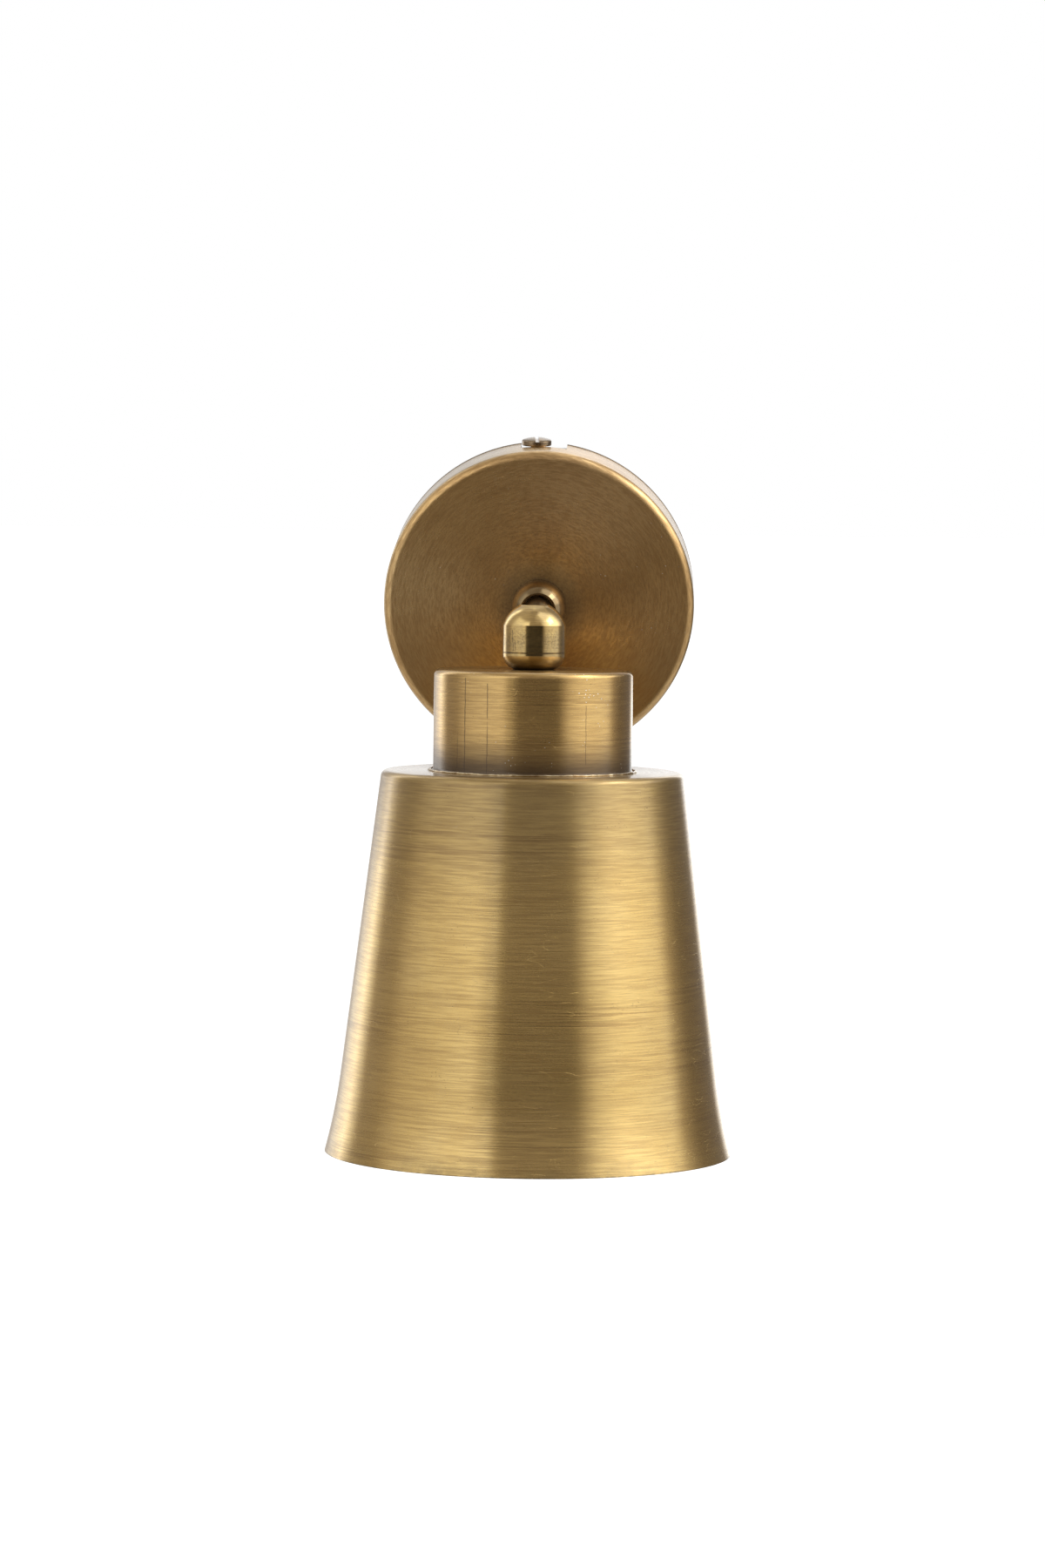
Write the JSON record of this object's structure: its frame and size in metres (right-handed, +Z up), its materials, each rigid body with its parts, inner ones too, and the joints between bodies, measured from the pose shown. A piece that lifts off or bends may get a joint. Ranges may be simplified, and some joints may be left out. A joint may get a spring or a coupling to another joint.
{
  "type": "wall light",
  "caption": "Hanging wall sconce: round canopy, short arm with a ball swivel, and a stepped cone shade of brushed antique brass over a lampholder.",
  "frame": {"origin": "centre of the canopy on the wall plane, at the middle of the bracket's two wall slots", "axes": "+Y into the wall, +Z up, the room and the shade towards -Y"},
  "size_m": [0.127, 0.1644, 0.2215],
  "materials": {
    "antique_brass": "brushed, darkened and lacquered",
    "polished_brass": "turned and polished, worn antique finish",
    "dark_brass": "dark antique finish, dull",
    "terminal_brass": "plain turned brass",
    "zinc_steel": "zinc plated sheet",
    "spring_steel": "bright spring steel",
    "black_plastic": "moulded phenolic",
    "white_nylon": "moulded nylon",
    "white_ceramic": "pressed ceramic",
    "red_fibre": "vulcanised fibre",
    "brown_sleeve": "silicone insulation",
    "blue_sleeve": "silicone insulation",
    "earth_sleeve": "green and yellow insulation"
  },
  "bodies": {
    "wall_side": {"wall_bracket": "zinc_steel", "canopy_cup": "antique_brass", "canopy_screws": "dark_brass", "collar_nipple": "terminal_brass", "joint_collar": "polished_brass", "collar_spring": "spring_steel", "fibre_washer": "red_fibre", "canopy_washer": "zinc_steel", "canopy_nut": "zinc_steel", "terminal_block": "white_nylon", "terminal_inserts": "terminal_brass", "terminal_screws": "zinc_steel", "block_screw": "zinc_steel", "earth_screw": "zinc_steel", "earth_washer": "zinc_steel", "earth_ring": "zinc_steel", "earth_lead": "earth_sleeve", "live_lead_canopy": "brown_sleeve", "neutral_lead_canopy": "blue_sleeve"},
    "arm": {"swivel_arm": "dark_brass", "joint_ball": "polished_brass", "live_lead_arm": "brown_sleeve", "neutral_lead_arm": "blue_sleeve"},
    "shade": {"swivel_barrel": "polished_brass", "barrel_foot": "polished_brass", "ball_seat": "white_nylon", "seat_spring": "spring_steel", "shade_tube": "zinc_steel", "shade_cap": "antique_brass", "shade_cone": "antique_brass", "cap_washer": "zinc_steel", "cap_nut": "zinc_steel", "holder_dome": "black_plastic", "holder_grub": "zinc_steel", "holder_skirt": "black_plastic", "holder_core": "white_ceramic", "screw_shell": "terminal_brass", "centre_contact": "terminal_brass", "side_contact": "terminal_brass", "contact_screws": "zinc_steel", "live_lead_shade": "brown_sleeve", "neutral_lead_shade": "blue_sleeve"}
  },
  "joints": [
    {"name": "arm_swivel", "type": "hinge", "parent": "wall_side", "child": "arm", "pos_m": [0, -0.025, 0], "axis": [0, 1, 0], "range_deg": [-170, 170]},
    {"name": "shade_tilt", "type": "hinge", "parent": "arm", "child": "shade", "pos_m": [0, -0.0795, 0], "axis": [-1, 0, 0], "range_deg": [-7.83, 82.17]}
  ]
}
